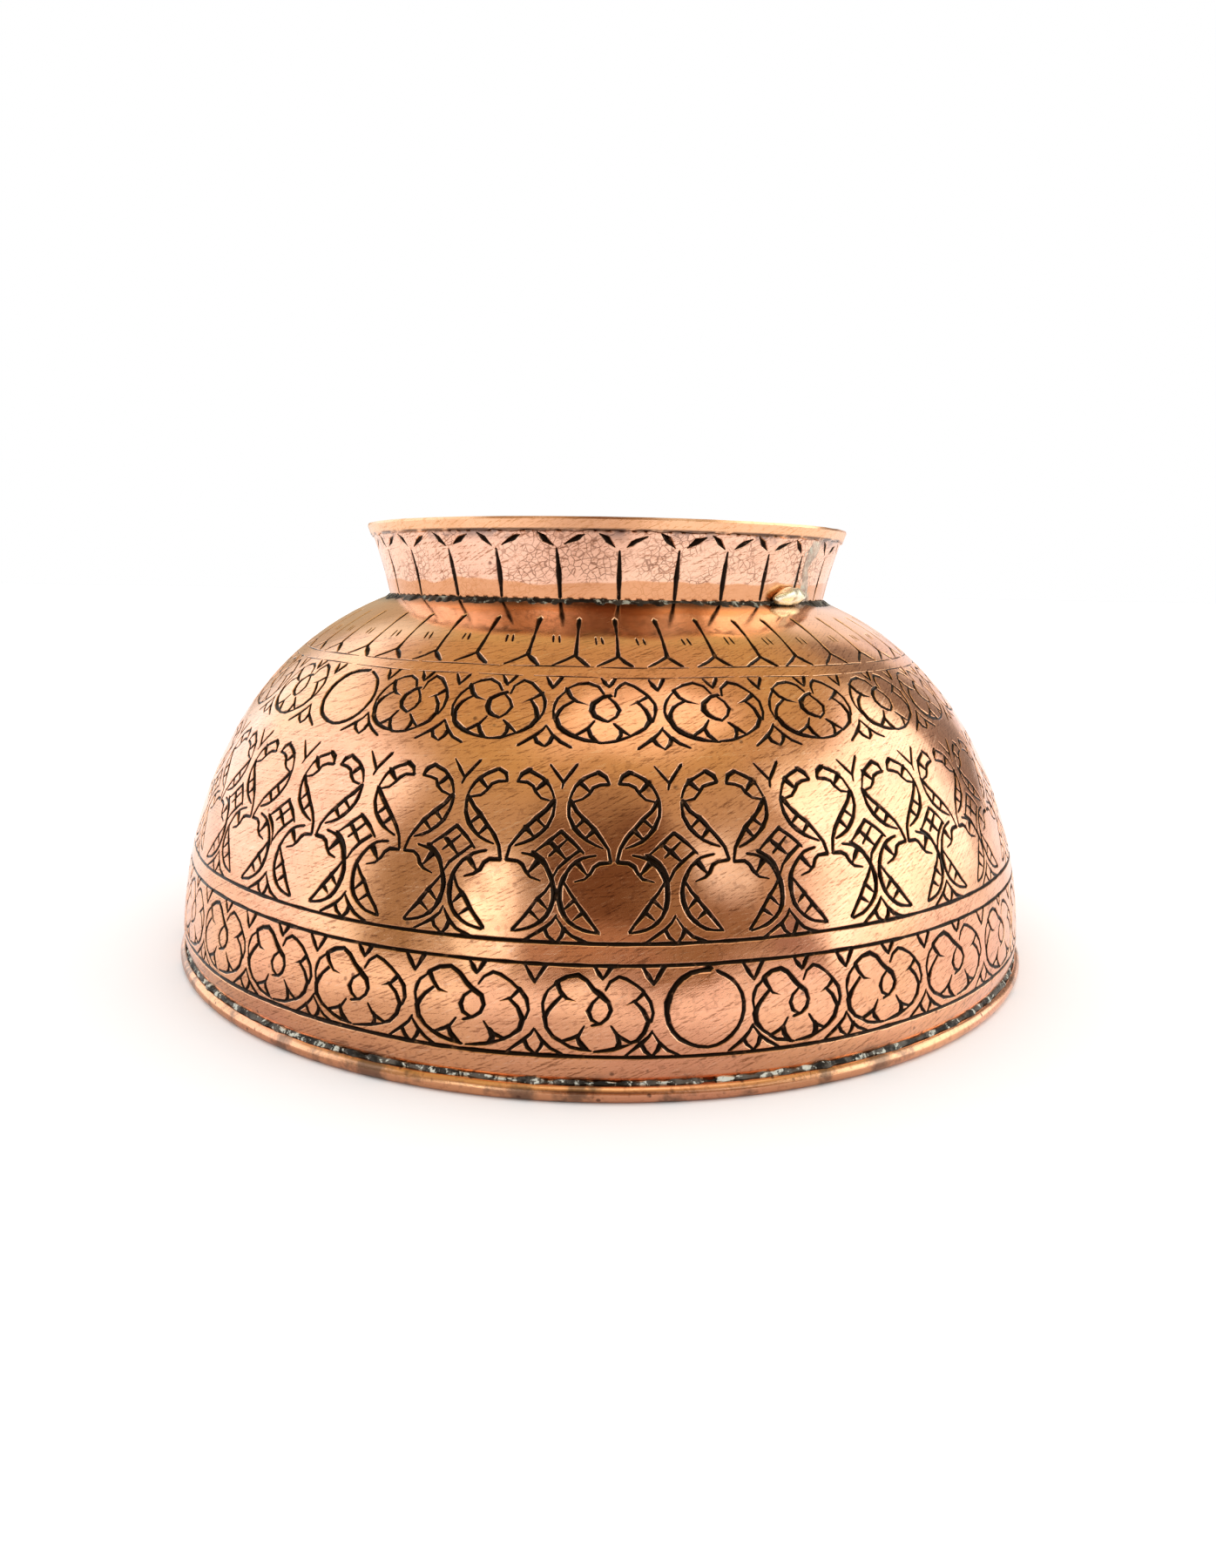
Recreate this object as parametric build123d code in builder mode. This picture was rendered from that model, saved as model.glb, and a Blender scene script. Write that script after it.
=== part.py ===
"""Footed copper bowl, raised from sheet and standing mouth down on its wired rim.

Millimetres, +Z up. The origin is the centre of the rim's circle, on the surface
that the bowl stands on, and the foot ring is at the top. Bearings are in degrees
about +Z, from the front (-Y) towards +X.
"""

import os
from math import cos, radians, sin

from build123d import *

os.makedirs("parts", exist_ok=True)

# Bowl: one sheet, pinched above the rim, then two tangent arcs and a flattened base
rim_radius = 98.7
height = 93.9
sheet = 0.9
neck_radius = 3.2
neck_sweep = 23.0
skirt_radius = 10.86
skirt_sweep = 27.3
belly_radius = 97.0
belly_sweep = 26.2
shoulder_radius = 67.5
shoulder_sweep = 38.3
turn_radius = 45.0
crown_slope = 8.0

# Rim: the sheet rolled outwards over a wire and worn flat underneath
wire_radius = 0.65
rim_wear = 0.1
roll_sweep = 262.0
hem_radius = wire_radius + sheet
wire_z = hem_radius - rim_wear
wire_centre = rim_radius - hem_radius
roll_start = 180.0

# Foot: a flared strip closed by one seam, with its free edge folded outwards
foot_sheet = 0.8
foot_root = (50.1, 75.7)
foot_lean = 9.0
flare_radius = 100.0
strip_length = 20.0
strip_sweep = strip_length / radians(1) / flare_radius
fold_height = 2.9
fold_sheet = 0.45
edge_round = 0.35
seam_bearing = 54.0
seam_width = 0.6
seam_sweep = seam_width / radians(1) / foot_root[0]

# Solder: the fillet at the foot's joint, the lump on it and the run above the hem
fillet_top = (51.2, 80.1)
fillet_mid = (51.75, 78.7)
fillet_toe = (53.0, 77.4)
fillet_root = (50.2, 77.3)
lump_bearing = 46.5
lump_centre = (51.0, 80.0)
lump_half_length = 5.6
lump_half_height = 2.0
lump_inside = 50.6
lump_sector = 16.0

# Corners of the solder in the notch between the roll and the wall, from the wire's centre
notch_corners = (
    (0.10, 2.4),
    (0.58, 1.46),
    (0.19, 1.56),
    (0.07, 0.7),
    (-0.37, 0.68),
    (-0.50, 0.87),
    (-0.34, 1.25),
)


def bearing_plane(bearing):
    """The upright half-plane at a bearing: x runs outwards from the axis and y is up."""
    outwards = (sin(radians(bearing)), -cos(radians(bearing)), 0)
    normal = (-cos(radians(bearing)), -sin(radians(bearing)), 0)
    return Plane(origin=(0, 0, 0), x_dir=outwards, z_dir=normal)


def sheet_line(inset):
    """One face of the bowl's sheet, from the roll at the rim to the axis."""
    foot_of_wall = (wire_centre - wire_radius - inset, wire_z)
    neck = JernArc(foot_of_wall, (0, 1), neck_radius + inset, -neck_sweep)
    skirt = JernArc(neck @ 1, neck % 1, skirt_radius - inset, skirt_sweep)
    belly = JernArc(skirt @ 1, skirt % 1, belly_radius - inset, belly_sweep)
    shoulder = JernArc(belly @ 1, belly % 1, shoulder_radius - inset, shoulder_sweep)
    turn_sweep = 90 + neck_sweep - skirt_sweep - belly_sweep - shoulder_sweep - crown_slope
    turn = JernArc(shoulder @ 1, shoulder % 1, turn_radius - inset, turn_sweep)
    crown_radius = (turn @ 1).X / sin(radians(crown_slope))
    crown = JernArc(turn @ 1, turn % 1, crown_radius, crown_slope)
    return neck @ 0, crown @ 1


# Section of the bowl's sheet, with the roll around the wire
with BuildSketch() as bowl_section:
    with BuildLine():
        _, outer_top = sheet_line(0)
        _, inner_top = sheet_line(sheet)
        Line(outer_top, inner_top)
        channel = CenterArc((wire_centre, wire_z), wire_radius, roll_start, roll_sweep)
        back = CenterArc((wire_centre, wire_z), hem_radius, roll_start, roll_sweep)
        Line(channel @ 1, back @ 1)
    make_face()
    with Locations((wire_centre, -hem_radius)):
        Rectangle(4 * hem_radius, 2 * hem_radius, mode=Mode.SUBTRACT)

# Everything inside the bowl's outer face, down to the wire's height
with BuildSketch() as bowl_outline:
    with BuildLine():
        outer_start, outer_top = sheet_line(0)
        Polyline(outer_top, (0, outer_start.Y), outer_start)
    make_face()

# Section of the foot's strip and its fold, before it is cut to the bowl and the height
with BuildSketch() as strip_section:
    along = Vector(sin(radians(foot_lean)), cos(radians(foot_lean)))
    across = Vector(along.Y, -along.X)
    with BuildLine():
        outer = JernArc(foot_root, along, flare_radius, -strip_sweep)
        inner_root = Vector(*foot_root) - across * foot_sheet
        inner = JernArc(inner_root, along, flare_radius + foot_sheet, -strip_sweep)
        Line(outer @ 0, inner @ 0)
        Line(outer @ 1, inner @ 1)
    make_face()
    end_lean = radians(foot_lean + strip_sweep)
    fold_out = Vector(cos(end_lean), -sin(end_lean)) * fold_sheet
    fold_low = outer @ ((height - fold_height - foot_root[1]) / strip_length)
    fold_high = outer @ 1
    with BuildLine():
        Polyline(
            fold_low - fold_out,
            fold_low + fold_out,
            fold_high + fold_out,
            fold_high - fold_out,
            close=True,
        )
    make_face()

# The same section resting on the bowl, level and rounded at the top
with BuildSketch() as foot_section:
    add(strip_section.sketch)
    add(bowl_outline.sketch, mode=Mode.SUBTRACT)
    with Locations((foot_root[0], height)):
        Rectangle(30, 30, align=(Align.CENTER, Align.MIN), mode=Mode.SUBTRACT)
    fillet(foot_section.vertices().group_by(Axis.Y)[-1], edge_round)

# Section of the solder fillet in the corner between the foot and the bowl
with BuildSketch() as fillet_section:
    with BuildLine():
        ThreePointArc(fillet_top, fillet_mid, fillet_toe)
        Polyline(fillet_toe, fillet_root, fillet_top)
    make_face()
    add(bowl_outline.sketch, mode=Mode.SUBTRACT)
    add(strip_section.sketch, mode=Mode.SUBTRACT)

# The bowl: wall, closed base and rolled rim in one sheet
with BuildPart() as bowl_shell:
    with BuildSketch(Plane.XZ):
        add(bowl_section.sketch)
    revolve(axis=Axis.Z)
bowl_shell.part.label = "bowl_shell"

# The wire inside the rolled rim
with BuildPart() as rim_wire:
    with BuildSketch(Plane.XZ):
        with Locations((wire_centre, wire_z)):
            Circle(wire_radius)
    revolve(axis=Axis.Z)
rim_wire.part.label = "rim_wire"

# Solder that closes the notch between the rolled edge and the wall
with BuildPart() as rim_solder:
    with BuildSketch(Plane.XZ):
        with BuildLine():
            Polyline([(wire_centre + x, wire_z + y) for x, y in notch_corners], close=True)
        make_face()
    revolve(axis=Axis.Z)
rim_solder.part.label = "rim_solder"

# The foot: a strip bent into a flared ring
with BuildPart() as foot_ring:
    with BuildSketch(bearing_plane(seam_bearing + seam_sweep / 2)):
        add(foot_section.sketch)
    revolve(axis=Axis.Z, revolution_arc=360 - seam_sweep)
foot_ring.part.label = "foot_ring"

# Solder in the seam between the strip's two ends
with BuildPart() as foot_seam_solder:
    with BuildSketch(bearing_plane(seam_bearing - seam_sweep / 2)):
        add(foot_section.sketch)
    revolve(axis=Axis.Z, revolution_arc=seam_sweep)
foot_seam_solder.part.label = "foot_seam_solder"

# The solder fillet that holds the foot to the bowl
with BuildPart() as foot_solder:
    with BuildSketch(Plane.XZ):
        add(fillet_section.sketch)
    revolve(axis=Axis.Z)
foot_solder.part.label = "foot_solder"

# A lump of spare solder left on the joint: an egg shape, less the foot, bowl and fillet
lump_frame = bearing_plane(lump_bearing)
lump_place = lump_frame.from_local_coords(lump_centre)
lump_size = (lump_half_length, lump_half_height, lump_half_height)
egg = scale(Sphere(1), by=lump_size)
egg = Plane(origin=lump_place, x_dir=lump_frame.z_dir, z_dir=lump_frame.x_dir) * egg
with BuildPart() as solder_lump:
    with BuildSketch(bearing_plane(lump_bearing - lump_sector / 2)):
        with Locations((lump_inside, lump_centre[1])):
            corner = (Align.MIN, Align.CENTER)
            Rectangle(3 * lump_half_height, 2 * lump_half_height, align=corner)
        for neighbour in (bowl_outline, strip_section, fillet_section):
            add(neighbour.sketch, mode=Mode.SUBTRACT)
    revolve(axis=Axis.Z, revolution_arc=lump_sector)
    add(egg, mode=Mode.INTERSECT)
solder_lump.part.label = "solder_lump"

pieces = (bowl_shell, rim_wire, rim_solder, foot_ring, foot_seam_solder, foot_solder, solder_lump)
for piece in pieces:
    export_step(piece.part, f"parts/{piece.part.label}.step")
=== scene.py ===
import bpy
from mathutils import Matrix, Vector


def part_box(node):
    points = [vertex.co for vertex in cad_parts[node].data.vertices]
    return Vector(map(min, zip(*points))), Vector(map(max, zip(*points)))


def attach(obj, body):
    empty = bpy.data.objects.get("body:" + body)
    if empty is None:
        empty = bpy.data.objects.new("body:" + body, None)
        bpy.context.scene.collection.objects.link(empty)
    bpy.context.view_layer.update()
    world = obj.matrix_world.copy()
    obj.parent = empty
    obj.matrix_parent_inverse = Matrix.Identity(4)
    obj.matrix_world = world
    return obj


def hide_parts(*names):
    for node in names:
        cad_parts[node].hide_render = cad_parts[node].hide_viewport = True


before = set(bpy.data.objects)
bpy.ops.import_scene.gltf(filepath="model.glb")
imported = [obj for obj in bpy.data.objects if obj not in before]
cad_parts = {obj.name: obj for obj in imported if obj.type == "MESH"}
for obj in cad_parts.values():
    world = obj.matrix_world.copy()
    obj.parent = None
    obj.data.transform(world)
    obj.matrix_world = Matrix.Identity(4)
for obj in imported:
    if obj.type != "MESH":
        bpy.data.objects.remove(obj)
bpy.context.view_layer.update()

# A raised, engraved copper bowl standing mouth down, with a flared foot ring on top.
# The engraving is cut into the meshes as V-shaped grooves. Lengths here are in
# millimetres until a piece is made, and bearings are measured from the front (-Y)
# towards +X. A "run" is a length along the profile of a piece, upwards.
import copy
import math
import random

import bmesh
import bpy
import numpy as np
from mathutils import Matrix, Vector
from mathutils.geometry import delaunay_2d_cdt

MM = 0.001

# ---------------------------------------------------------------- dimensions
# The bowl: a sheet rolled round a wire at the rim.
RIM_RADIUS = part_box("bowl_shell")[1][0] / MM
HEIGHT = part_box("foot_ring")[1][2] / MM
SHEET = 0.9
WIRE_RADIUS = 0.65
HEM_RADIUS = WIRE_RADIUS + SHEET
WIRE_Z = HEM_RADIUS - 0.1     # the roll is worn flat underneath by this much
WIRE_CENTRE = RIM_RADIUS - HEM_RADIUS
ROLL_SWEEP = 262.0            # degrees of the roll round the wire
NECK = (-3.2, 23.0)           # radius and sweep in degrees of each arc of the wall, upwards
SKIRT = (10.86, 27.3)
BELLY = (97.0, 26.2)
SHOULDER = (67.5, 38.3)
TURN_RADIUS = 45.0            # the arc from the shoulder into the bottom
CROWN_SLOPE = 8.0             # degrees of slope where that arc ends and the bottom starts
FIRST_RUN = -2.18             # run of the wall's lowest point, which is inside the roll
WALL_EDGE = FIRST_RUN - 0.05  # where the wall's mesh starts

# The foot: a leaning strip with its free edge folded outwards, soldered on.
FOOT_ROOT = (50.1, 75.7)      # radius and height of its lower edge, inside the solder
FOOT_LEAN = 9.0
FLARE_RADIUS = 100.0
STRIP_LENGTH = 20.0
FOOT_SHEET = 0.8
FOLD_SHEET = 0.45
FOLD_HEIGHT = 2.4
FOLD_COVER = 0.45             # how far the foot's engraved face reaches up under the fold
FOOT_BAND_RADIUS = 52.5       # where the foot's engraving is laid out flat
FOOT_BEARINGS = 432           # facets round the foot
FOOT_LOW = 2.4                # run where the foot's outside comes out of the solder
FOOT_INSIDE_LOW = 1.2         # and where its inside starts
SEAM_BEARING = 54.0
LUMP_BEARING = 46.5
LUMP_RADIUS, LUMP_Z = 52.0, 79.7
LUMP_THICK, LUMP_TALL, LUMP_SPAN = 1.75, 1.85, 5.9      # half sizes in mm, mm and degrees

# The engraving.
COLUMNS = 216                 # facets round the bowl, between the grooves
BAND_EDGES = (3.0, 20.8, 53.4, 70.8, 88.0)      # runs that part the bands of engraving
BAND_RADII = (96.5, 92.0, 76.0, 69.3)           # where each band is laid out flat
GROOVE_STEP = 1.45            # length of one facet along a groove
CUT_WIDTH = 1.85              # all widths below are scaled by this
GROOVE_SLOPE = 0.7            # depth of a groove over half its width
SHALLOWEST = 0.004            # a face less deep than this is not part of a groove
TURN = 2 * math.pi


# ---------------------------------------------------------------- surfaces of revolution
class Chain:
    """Tangent arcs in the (radius, height) plane, followed by run; a negative radius bends outwards."""

    def __init__(self, start, lean, arcs, first_run=0.0):
        self.parts = []
        run, (r, z), lean = first_run, start, math.radians(lean)
        for radius, sweep in arcs:
            self.parts.append((run, r, z, lean, radius))
            turned = lean + math.radians(sweep) * (1 if radius > 0 else -1)
            r += radius * (math.cos(turned) - math.cos(lean))
            z += radius * (math.sin(turned) - math.sin(lean))
            run += abs(radius) * math.radians(sweep)
            lean = turned
        self.first, self.length, self.end_radius = first_run, run, r

    def __call__(self, run):
        run = np.asarray(run, float)
        r_all, z_all = np.zeros_like(run), np.zeros_like(run)
        for number, (start, r, z, lean, radius) in enumerate(self.parts):
            turned = lean + (run - start) / radius
            here = (run >= start) | (number == 0)
            r_all = np.where(here, r + radius * (np.cos(turned) - math.cos(lean)), r_all)
            z_all = np.where(here, z + radius * (np.sin(turned) - math.sin(lean)), z_all)
        return r_all, z_all

    def run_at_radius(self, radius):
        runs = np.linspace(self.first, self.length, 4000)
        return float(runs[np.nonzero(self(runs)[0] >= radius)[0][-1]])

    def run_at_z(self, z):
        runs = np.linspace(self.first, self.length, 4000)
        return float(np.interp(z, self(runs)[1], runs))


def wall_chain(inset):
    """One face of the bowl's sheet, from the roll at the rim up to the axis."""
    start = (WIRE_CENTRE - WIRE_RADIUS - inset, WIRE_Z)
    sweeps = -NECK[1] + SKIRT[1] + BELLY[1] + SHOULDER[1]
    arcs = [(radius - inset, sweep) for radius, sweep in (NECK, SKIRT, BELLY, SHOULDER)]
    arcs.append((TURN_RADIUS - inset, 90 - sweeps - CROWN_SLOPE))
    end_radius = Chain(start, 0, arcs).end_radius
    arcs.append((end_radius / math.sin(math.radians(CROWN_SLOPE)), CROWN_SLOPE))
    return Chain(start, 0, arcs, FIRST_RUN)


def foot_chain(inset):
    """One face of the foot's strip, from inside the bowl up to its free edge."""
    lean, radius = math.radians(FOOT_LEAN), FLARE_RADIUS + inset
    start = (FOOT_ROOT[0] - inset * math.cos(lean), FOOT_ROOT[1] + inset * math.sin(lean))
    return Chain(start, -FOOT_LEAN, [(-radius, math.degrees(STRIP_LENGTH / radius))])


def make_waves(seed, count, size, turns, rates):
    """Cosines round the axis and along the profile: the slow unevenness of hand work."""
    rng = random.Random(seed)
    return [
        (size * rng.uniform(0.6, 1.2), rng.randint(*turns), rng.uniform(*rates), rng.uniform(0, TURN))
        for _ in range(count)
    ]


def wave(waves, bearing, run):
    return sum(size * np.cos(turns * bearing + rate * run + phase)
               for size, turns, rate, phase in waves)


class Surface:
    """A surface round the axis, given by a function from bearing and run to radius and height."""

    AROUND, ALONG = 1e-4, 0.01      # steps that the slopes are measured over, in radians and mm

    def __init__(self, shape):
        self.shape = shape

    def points(self, bearing, run):
        r, z = self.shape(bearing, run)
        return np.stack([r * np.sin(bearing), -r * np.cos(bearing), z], -1)

    def place(self, bearing, run, depth=0.0, flip=False):
        """Points and unit normals at bearings (radians) and runs, sunk by depth."""
        bearing, run = np.asarray(bearing, float), np.asarray(run, float)
        around = self.points(bearing + self.AROUND, run) - self.points(bearing - self.AROUND, run)
        along = self.points(bearing, run + self.ALONG) - self.points(bearing, run - self.ALONG)
        normal = np.cross(around, along)
        length = np.linalg.norm(normal, axis=-1, keepdims=True)
        fallback = np.zeros_like(normal)
        fallback[..., 2] = 1.0
        normal = np.where(length > 1e-9, normal / np.maximum(length, 1e-12), fallback)
        points = self.points(bearing, run) - np.asarray(depth)[..., None] * normal
        return points, -normal if flip else normal


SHELL_WAVES = make_waves(3, 14, 0.022, (3, 24), (-0.25, 0.25))
FOOT_WAVES = make_waves(8, 8, 0.03, (3, 18), (-0.2, 0.2))


def sheet_surface(chain, waves, still_runs):
    """A face of a sheet that wavers, except close to the first and last of still_runs."""
    def shape(bearing, run):
        r, z = chain(run)
        ahead_r, ahead_z = chain(run + 0.01)
        slope = np.hypot(ahead_r - r, ahead_z - z)
        free = np.clip((run - still_runs[0]) / 5, 0, 1) * np.clip((still_runs[1] - run) / 12, 0, 1)
        offset = wave(waves, bearing, run) * free * free * (3 - 2 * free)
        return (r + offset * (ahead_z - z) / slope, z - offset * (ahead_r - r) / slope)
    return Surface(shape)


NOWHERE = (-20.0, 1000.0)     # runs far off both ends, for a sheet that wavers all over
WALL = wall_chain(0)
WALL_INSIDE = wall_chain(SHEET)
STRIP = foot_chain(0)
STRIP_INSIDE = foot_chain(FOOT_SHEET)
SHELL = sheet_surface(WALL, SHELL_WAVES, (1.0, WALL.length))
LINING = sheet_surface(WALL_INSIDE, SHELL_WAVES, (1.0, WALL_INSIDE.length))
FOOT = sheet_surface(STRIP, FOOT_WAVES, NOWHERE)
FOOT_INSIDE = sheet_surface(STRIP_INSIDE, FOOT_WAVES, NOWHERE)


# ---------------------------------------------------------------- strokes of the graver
def smooth(points, step):
    """Points about step apart along a Catmull-Rom curve through given points."""
    points = [np.array(p, float) for p in points]
    if len(points) == 2:
        points.insert(1, (points[0] + points[1]) / 2)
    ends = [2 * points[0] - points[1], *points, 2 * points[-1] - points[-2]]
    curve = []
    for a, b, c, d in zip(ends, ends[1:], ends[2:], ends[3:]):
        count = max(1, round(float(np.linalg.norm(c - b)) / step))
        for k in range(count):
            t = k / count
            curve.append(
                0.5 * (2 * b + (c - a) * t + (2 * a - 5 * b + 4 * c - d) * t * t
                       + (3 * b - a - 3 * c + d) * t ** 3)
            )
    curve.append(points[-1])
    return np.array(curve)


class Stroke:
    """One cut: a centre line and the cut's half-width at each of its points."""

    TIP = 1.3                 # length of a pointed end over the cut's half-width there

    def __init__(self, points, widths, rng=None, step=GROOVE_STEP, pointed=True):
        self.line = smooth(points, step)
        along = np.linspace(0, 1, len(self.line))
        self.half = np.interp(along, [0, 0.5, 1], widths) / 2 * CUT_WIDTH
        if rng:
            self.half *= np.array([rng.uniform(0.86, 1.14) for _ in self.half])
        self.pointed = pointed

    def moved(self, place):
        other = copy.copy(self)
        other.line = np.array([place(x, y) for x, y in self.line])
        return other

    def outline(self):
        """The two edges of the cut, with a short point at each end."""
        tangent = np.gradient(self.line, axis=0)
        tangent /= np.maximum(np.linalg.norm(tangent, axis=1, keepdims=True), 1e-9)
        across = np.stack([-tangent[:, 1], tangent[:, 0]], 1) * self.half[:, None]
        first, last = [], []
        if self.pointed:
            first = [self.line[0] - tangent[0] * self.half[0] * self.TIP]
            last = [self.line[-1] + tangent[-1] * self.half[-1] * self.TIP]
        left, right = self.line + across, self.line - across
        return [*first, *left, *last, *right[::-1]]


# Each figure is a list of (widths, points): the cut's width at its start, middle and end,
# then the points that it passes, in mm from the figure's own centre.

# Four petals in a circle, with a drop in the middle that grows out of the left petal.
LOWER_FLOWER = [
    ((0.3, 0.45, 0.3), [(-6.9, 4.4), (-8.4, 3.2), (-9.2, 0.9), (-8.9, -1.2)]),
    ((0.4, 0.65, 0.4), [(-6.1, 2.3), (-7.6, 0.8), (-8.8, -1.2), (-8.5, -2.8), (-7.4, -4.2), (-5.9, -5.1)]),
    ((0.4, 0.5, 0.3), [(-5.9, -5.1), (-4.6, -5.8), (-3.1, -6.2), (-1.2, -6.5)]),
    ((0.5, 0.65, 0.35), [(-7.1, 4.5), (-5.3, 5.5), (-3.5, 5.9), (-2.1, 5.0), (-0.9, 3.6), (0.2, 2.7),
                         (1.5, 1.6), (2.0, 0.2), (1.5, -1.1), (0.5, -1.9), (-1.2, -2.4)]),
    ((0.3, 0.55, 0.35), [(0.2, 2.4), (-1.1, 1.3), (-1.7, 0.0), (-1.2, -1.3), (-0.2, -1.9)]),
    ((0.65, 0.5, 0.1), [(-6.9, 4.4), (-6.3, 3.1), (-5.3, 1.9), (-3.8, 1.5)]),
    ((0.3, 0.5, 0.4), [(1.0, 3.5), (1.8, 4.8), (3.2, 5.7), (4.5, 5.3), (6.1, 4.3), (7.3, 3.2)]),
    ((0.45, 0.5, 0.3), [(7.3, 3.2), (8.5, 1.6), (8.9, -0.2), (8.5, -1.6)]),
    ((0.5, 0.4, 0.1), [(7.3, 2.9), (6.1, 1.8), (4.5, 1.1)]),
    ((0.4, 0.6, 0.4), [(5.7, 1.7), (7.2, 0.3), (8.1, -1.5), (7.5, -3.3), (6.2, -4.6), (5.2, -5.0)]),
    ((0.3, 0.5, 0.4), [(-2.3, -2.4), (-3.2, -3.9), (-5.8, -5.0)]),
    ((0.5, 0.65, 0.4), [(-3.4, -3.9), (-3.1, -5.1), (-1.7, -6.5)]),
    ((0.3, 0.5, 0.4), [(2.1, -2.4), (3.1, -3.9), (5.2, -5.0)]),
    ((0.55, 0.6, 0.4), [(3.2, -3.9), (3.4, -5.1), (2.8, -5.9)]),
    ((0.3, 0.5, 0.3), [(-0.7, -6.5), (2.3, -6.1), (5.1, -5.2)]),
]

# Four petals in a circle round a pointed oval.
UPPER_FLOWER = [
    ((0.3, 0.45, 0.3), [(-6.4, 4.3), (-8.0, 2.2), (-8.6, -0.3), (-8.2, -2.3)]),
    ((0.35, 0.75, 0.3), [(-5.2, 1.9), (-7.0, 0.6), (-7.9, -1.6), (-7.3, -3.4), (-5.3, -5.0), (-3.0, -5.9),
                         (-0.4, -6.4)]),
    ((0.25, 0.5, 0.35), [(-6.7, 4.3), (-4.9, 5.5), (-2.9, 5.9), (-1.0, 5.0), (-0.1, 3.5)]),
    ((0.6, 0.55, 0.1), [(-6.6, 4.2), (-5.8, 2.7), (-4.6, 1.7), (-2.6, 1.1)]),
    ((0.3, 0.55, 0.35), [(1.8, 2.9), (2.1, 4.6), (3.6, 6.1), (5.3, 5.4), (7.6, 3.2)]),
    ((0.4, 0.5, 0.3), [(7.5, 3.3), (8.5, 1.5), (8.5, -0.6), (7.9, -2.2)]),
    ((0.55, 0.4, 0.1), [(7.5, 3.1), (6.0, 2.0), (4.2, 1.1)]),
    ((0.4, 0.6, 0.35), [(5.6, 1.8), (6.9, 0.1), (7.5, -2.0), (6.6, -3.6), (4.2, -5.1)]),
    ((0.35, 0.5, 0.3), [(1.6, -2.7), (2.7, -3.8), (4.2, -5.0)]),
    ((0.5, 0.5, 0.3), [(2.7, -3.9), (2.6, -5.0), (2.0, -6.0)]),
    ((0.3, 0.45, 0.3), [(-0.6, -6.4), (1.8, -6.1), (4.2, -5.2)]),
    ((0.3, 0.5, 0.4), [(-1.6, -2.2), (-2.5, -3.7), (-4.6, -5.1)]),
    ((0.5, 0.6, 0.3), [(-2.6, -3.8), (-2.1, -5.2), (-0.9, -6.4)]),
    ((0.45, 0.75, 0.35), [(1.2, 3.2), (-0.4, 2.7), (-1.8, 1.5), (-2.1, 0.0), (-1.5, -1.2), (-0.3, -1.9),
                          (0.6, -2.2)]),
    ((0.35, 0.5, 0.3), [(0.8, 2.7), (1.9, 1.5), (2.5, 0.1), (1.9, -1.3), (0.6, -2.4)]),
]


CIRCLE_OPENING = 1.35         # radians up from the right, where the plain circle is left open


def plain_circle(width, height):
    """A circle with nothing in it, thicker on the left and open at the upper right."""
    def rim(angle):
        return (math.cos(angle) * width / 2, math.sin(angle) * height / 2)
    left = [rim(CIRCLE_OPENING + 0.1 + k * (math.pi - 0.1) / 6) for k in range(7)]
    right = [rim(CIRCLE_OPENING - 0.1 - k * (math.pi + 0.1) / 7) for k in range(8)]
    return [((0.65, 0.75, 0.45), left), ((0.45, 0.5, 0.4), right)]


# Left half of a heart that runs down into a roundel; its runs are the band's own.
HEART_HALF = [
    ((0.5, 0.5, 0.3), [(-3.3, 50.4), (-5.3, 49.5), (-6.9, 48.0), (-7.8, 46.0)]),
    ((0.4, 0.6, 0.3), [(-7.9, 45.4), (-7.8, 43.0), (-6.9, 41.1), (-4.5, 38.9), (-1.9, 37.8)]),
    ((0.6, 0.65, 0.35), [(-2.8, 50.7), (-1.5, 49.9), (-0.9, 48.6)]),
    ((0.4, 0.5, 0.3), [(-0.9, 48.6), (-2.6, 48.4), (-3.8, 47.9), (-4.4, 46.9), (-5.5, 45.9), (-7.1, 45.5)]),
    ((0.75, 0.6, 0.3), [(-6.1, 48.8), (-5.2, 47.9), (-4.3, 47.0)]),
    ((0.6, 0.6, 0.4), [(-7.7, 45.5), (-6.5, 43.9), (-4.9, 42.4), (-3.4, 40.9), (-2.0, 39.2), (-1.0, 37.6),
                       (-0.5, 35.6)]),
    ((0.5, 0.45, 0.3), [(-5.0, 42.5), (-6.6, 41.0)]),
    ((0.6, 0.5, 0.3), [(-3.4, 40.7), (-4.9, 39.2)]),
    ((0.35, 0.65, 0.35), [(-3.0, 36.6), (-5.2, 36.1), (-7.0, 34.7), (-8.2, 32.7), (-8.7, 30.5),
                          (-8.3, 27.8), (-6.9, 25.8), (-4.9, 24.6), (-2.7, 24.1)]),
    ((0.45, 0.55, 0.25), [(-0.5, 35.4), (-2.4, 35.3), (-3.3, 34.7), (-3.8, 33.6), (-4.7, 32.7),
                          (-6.4, 32.2)]),
    ((0.75, 0.6, 0.3), [(-5.8, 35.2), (-4.4, 33.4)]),
    ((0.35, 0.55, 0.4), [(-8.3, 32.3), (-7.2, 30.5), (-5.9, 28.9), (-4.7, 27.2), (-3.3, 25.4),
                         (-2.4, 24.2)]),
    ((0.5, 0.45, 0.25), [(-6.2, 29.5), (-7.8, 27.8)]),
    ((0.5, 0.45, 0.25), [(-4.9, 27.4), (-6.4, 26.1)]),
]

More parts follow.
